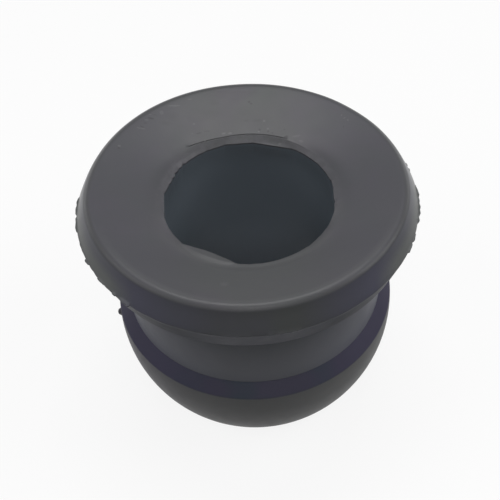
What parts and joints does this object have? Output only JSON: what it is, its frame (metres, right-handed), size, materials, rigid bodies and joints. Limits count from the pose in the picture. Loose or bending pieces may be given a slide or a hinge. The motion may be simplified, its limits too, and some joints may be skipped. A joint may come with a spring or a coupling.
{
  "type": "rubber grommet",
  "caption": "Black rubber grommet: dished flange, groove for a panel, domed head and a bore right through.",
  "frame": {"origin": "centre of the flat end of the head, where the grommet stands", "axes": "+Z along the bore, from the head up through the flange"},
  "size_m": [0.0299, 0.0296, 0.024],
  "materials": {
    "rubber": "matt"
  },
  "bodies": {
    "root": {"grommet": "rubber"}
  },
  "joints": []
}
